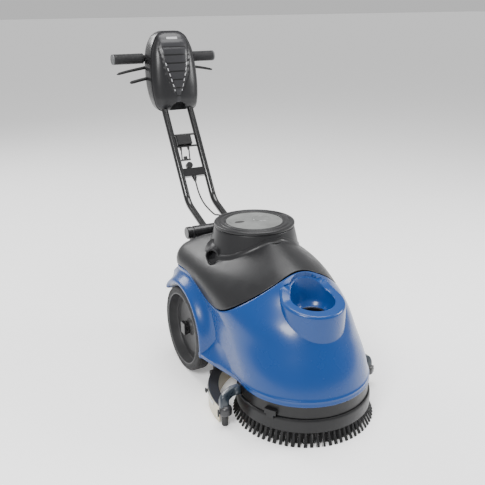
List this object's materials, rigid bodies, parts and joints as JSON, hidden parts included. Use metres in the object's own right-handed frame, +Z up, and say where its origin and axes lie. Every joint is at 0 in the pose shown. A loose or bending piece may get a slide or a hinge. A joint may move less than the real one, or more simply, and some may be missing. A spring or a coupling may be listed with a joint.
{
  "type": "wet dry floor scrubber",
  "caption": "Walk-behind floor scrubber with a disc brush, curved lifting squeegee, lift-off recovery tank, transport wheels and a folding handle with console.",
  "frame": {"origin": "on the floor, at the middle of the overall length and width", "axes": "+Z up, -Y the front (brush and nose), +Y the rear (handle), +X to the right of a person pushing the machine"},
  "size_m": [0.4482, 1.04, 0.868],
  "materials": {
    "blue_plastic": "gloss",
    "charcoal_plastic": "satin",
    "black_plastic": "satin",
    "black_metal": "gloss",
    "frame_metal": "satin",
    "steel": "satin",
    "motor_metal": "satin",
    "cast_metal": "satin",
    "battery_plastic": "satin",
    "pale_plastic": "satin",
    "smoke_plastic": "gloss",
    "tyre_rubber": "matte",
    "black_rubber": "matte",
    "wheel_plastic": "satin",
    "blade_rubber": "satin",
    "bristle": "matte",
    "grip_rubber": "matte",
    "switch_plastic": "gloss"
  },
  "bodies": {
    "chassis": {"brush_deck": "black_plastic", "base_frame": "frame_metal", "solution_tank": "blue_plastic", "filler_cup": "blue_plastic", "left_arch": "blue_plastic", "right_arch": "blue_plastic", "filler_strainer": "pale_plastic", "solution_feed": "pale_plastic", "brush_motor": "motor_metal", "gearbox": "cast_metal", "batteries": "battery_plastic", "vacuum_motor": "motor_metal", "control_module": "black_plastic", "axle": "steel", "handle_brackets": "black_metal", "bracket_bolts": "steel", "fold_pin": "steel", "handle_cable": "black_rubber", "suction_hose": "black_rubber"},
    "recovery_tank": {"recovery_tank": "charcoal_plastic", "float_cage": "pale_plastic", "lid_seal": "black_rubber"},
    "float": {"float_ball": "pale_plastic"},
    "lid": {"lid_ring": "charcoal_plastic", "lid_window": "smoke_plastic"},
    "left_wheel": {"left_tyre": "tyre_rubber", "left_wheel_disc": "wheel_plastic", "left_hub_cap": "charcoal_plastic"},
    "right_wheel": {"right_tyre": "tyre_rubber", "right_wheel_disc": "wheel_plastic", "right_hub_cap": "charcoal_plastic"},
    "brush": {"brush_block": "charcoal_plastic", "brush_bristles": "bristle", "drive_plate": "frame_metal", "drive_shaft": "steel"},
    "squeegee": {"squeegee_holder": "frame_metal", "front_blade": "blade_rubber", "rear_blade": "blade_rubber", "blade_strap": "steel", "wing_nuts": "black_plastic", "suction_nozzle": "black_plastic"},
    "left_roller": {"left_roller": "black_rubber"},
    "right_roller": {"right_roller": "black_rubber"},
    "left_castor": {"left_castor": "black_rubber"},
    "right_castor": {"right_castor": "black_rubber"},
    "handle": {"handle_tubes": "black_metal", "fold_barrel": "frame_metal", "cross_braces": "black_metal", "cable_box": "black_plastic", "cable_gland": "black_plastic", "console_shell": "charcoal_plastic", "console_mask": "charcoal_plastic", "handlebar": "black_metal", "grips": "grip_rubber", "battery_gauge": "black_plastic"},
    "left_lever": {"left_lever": "black_plastic"},
    "right_lever": {"right_lever": "black_plastic"},
    "squeegee_lever": {"squeegee_lever": "black_plastic"},
    "power_switch": {"power_switch": "switch_plastic"},
    "vacuum_switch": {"vacuum_switch": "black_plastic"}
  },
  "joints": [
    {"name": "tank_lift", "type": "slide", "parent": "chassis", "child": "recovery_tank", "axis": [0, 0, 1], "range_m": [0, 0.15]},
    {"name": "float_rise", "type": "slide", "parent": "recovery_tank", "child": "float", "axis": [0, 0, 1], "range_m": [0, 0.015]},
    {"name": "lid_lift", "type": "slide", "parent": "recovery_tank", "child": "lid", "axis": [0, 0, 1], "range_m": [0, 0.1]},
    {"name": "left_wheel_turn", "type": "hinge", "parent": "chassis", "child": "left_wheel", "pos_m": [-0.1655, -0.027, 0.116], "axis": [1, 0, 0], "continuous": true},
    {"name": "right_wheel_turn", "type": "hinge", "parent": "chassis", "child": "right_wheel", "pos_m": [0.1655, -0.027, 0.116], "axis": [1, 0, 0], "continuous": true},
    {"name": "brush_turn", "type": "hinge", "parent": "chassis", "child": "brush", "pos_m": [0, -0.348, 0.05], "axis": [0, 0, 1], "continuous": true},
    {"name": "squeegee_lift", "type": "hinge", "parent": "chassis", "child": "squeegee", "pos_m": [0, -0.323, 0.08], "axis": [1, 0, 0], "range_deg": [0, 5.5], "deforming": ["suction_hose"]},
    {"name": "left_roller_turn", "type": "hinge", "parent": "squeegee", "child": "left_roller", "pos_m": [-0.204, -0.332, 0.02], "axis": [0, 0, 1], "continuous": true},
    {"name": "right_roller_turn", "type": "hinge", "parent": "squeegee", "child": "right_roller", "pos_m": [0.204, -0.332, 0.02], "axis": [0, 0, 1], "continuous": true},
    {"name": "left_castor_turn", "type": "hinge", "parent": "squeegee", "child": "left_castor", "pos_m": [-0.138, -0.116, 0.0106], "axis": [1, 0, 0], "continuous": true},
    {"name": "right_castor_turn", "type": "hinge", "parent": "squeegee", "child": "right_castor", "pos_m": [0.138, -0.116, 0.0106], "axis": [1, 0, 0], "continuous": true},
    {"name": "handle_fold", "type": "hinge", "parent": "chassis", "child": "handle", "pos_m": [0, 0.114, 0.333], "axis": [-1, 0, 0], "range_deg": [-110, 0], "deforming": ["handle_cable"]},
    {"name": "left_lever_squeeze", "type": "hinge", "parent": "handle", "child": "left_lever", "pos_m": [-0.056, 0.494, 0.761], "axis": [0, 1, 0], "range_deg": [0, 10], "stiffness_Nm_per_rad": 0.5},
    {"name": "right_lever_squeeze", "type": "hinge", "parent": "handle", "child": "right_lever", "pos_m": [0.056, 0.494, 0.761], "axis": [0, -1, 0], "range_deg": [0, 10], "stiffness_Nm_per_rad": 0.5},
    {"name": "squeegee_lever_turn", "type": "hinge", "parent": "handle", "child": "squeegee_lever", "pos_m": [-0.06, 0.467, 0.731], "axis": [0, 1, 0], "range_deg": [0, 30.25]},
    {"name": "power_switch_rock", "type": "hinge", "parent": "handle", "child": "power_switch", "pos_m": [-0.032, 0.50415, 0.83324], "axis": [1, 0, 0], "range_deg": [-8, 8]},
    {"name": "vacuum_switch_rock", "type": "hinge", "parent": "handle", "child": "vacuum_switch", "pos_m": [0.032, 0.50415, 0.83324], "axis": [1, 0, 0], "range_deg": [-8, 8]}
  ],
  "couplings": [
    {"joint": "squeegee_lever_turn", "follows": "squeegee_lift", "ratio": 5.5}
  ]
}
